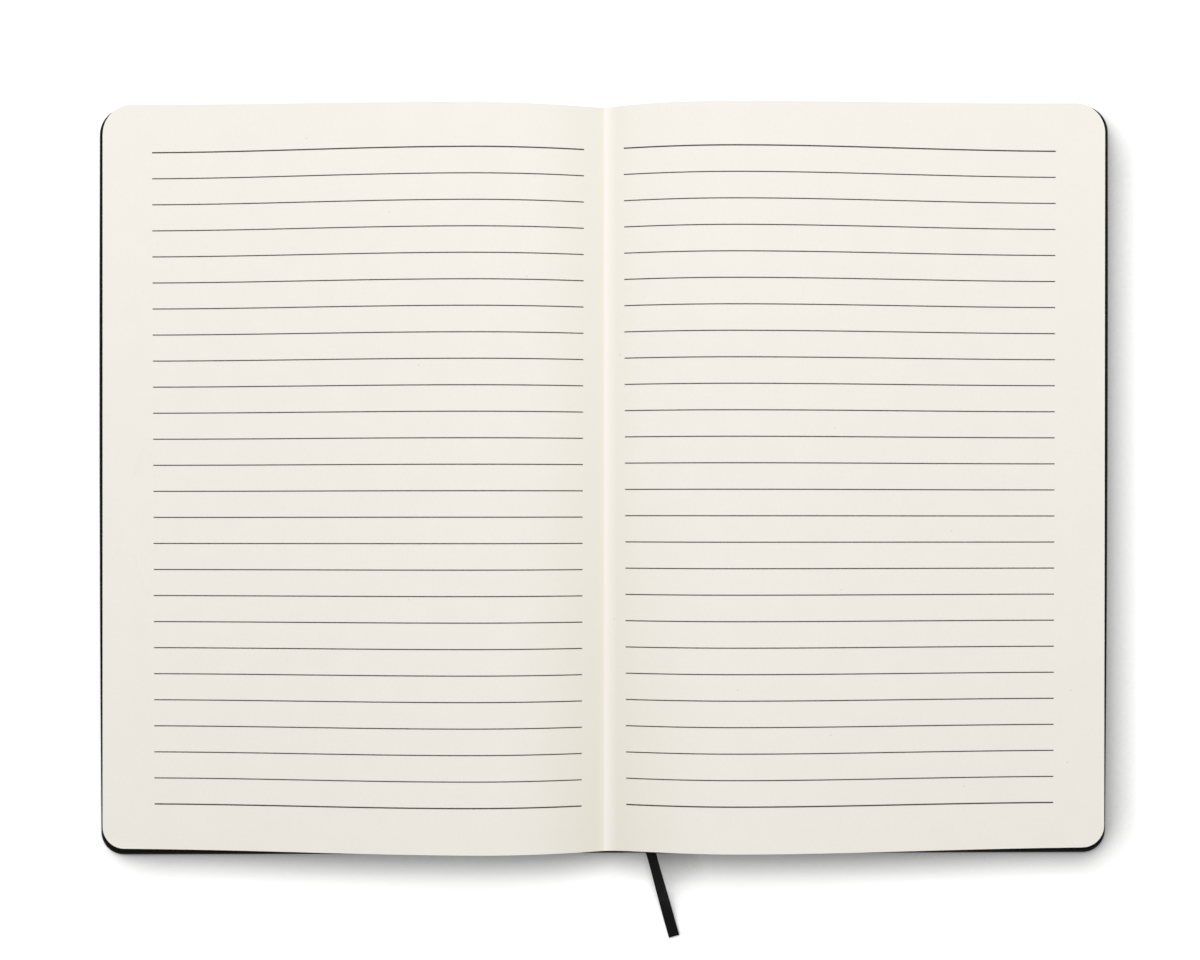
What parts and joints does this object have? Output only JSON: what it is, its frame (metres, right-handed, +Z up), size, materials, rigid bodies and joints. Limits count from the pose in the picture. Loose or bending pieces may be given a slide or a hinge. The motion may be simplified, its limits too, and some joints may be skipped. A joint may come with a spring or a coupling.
{
  "type": "open ruled notebook",
  "caption": "Case-bound notebook lying open at its middle, with ruled cream pages, a black cover hinged on each side of the spine, and a ribbon marker.",
  "frame": {"origin": "on the surface the book lies on, below the middle of its cover", "axes": "+X across the spread towards the right page's fore-edge, +Y towards the head of the pages, +Z up, away from the surface"},
  "size_m": [0.2834, 0.2344, 0.0127],
  "materials": {
    "page_paper": "matte cream writing paper",
    "ruling_ink": "matte grey ink",
    "endpaper": "matte cream endpaper",
    "board": "grey board",
    "covering": "fine-grained black imitation leather",
    "lining": "open cotton cloth",
    "ribbon": "black satin"
  },
  "bodies": {
    "book": {"text_block": "page_paper", "left_page_ruling": "ruling_ink", "right_page_ruling": "ruling_ink", "front_flyleaf": "endpaper", "back_flyleaf": "endpaper", "spine_skin": "covering", "spine_inlay": "board", "spine_lining": "lining", "ribbon_marker": "ribbon"},
    "front_cover": {"front_board": "board", "front_cover_skin": "covering", "front_pastedown": "endpaper"},
    "back_cover": {"back_board": "board", "back_cover_skin": "covering", "back_pastedown": "endpaper"}
  },
  "joints": [
    {"name": "front_cover_hinge", "type": "hinge", "parent": "book", "child": "front_cover", "pos_m": [-0.00875, 0, 0], "axis": [0, -1, 0], "range_deg": [0, 90]},
    {"name": "back_cover_hinge", "type": "hinge", "parent": "book", "child": "back_cover", "pos_m": [0.00875, 0, 0], "axis": [0, 1, 0], "range_deg": [0, 90]}
  ]
}
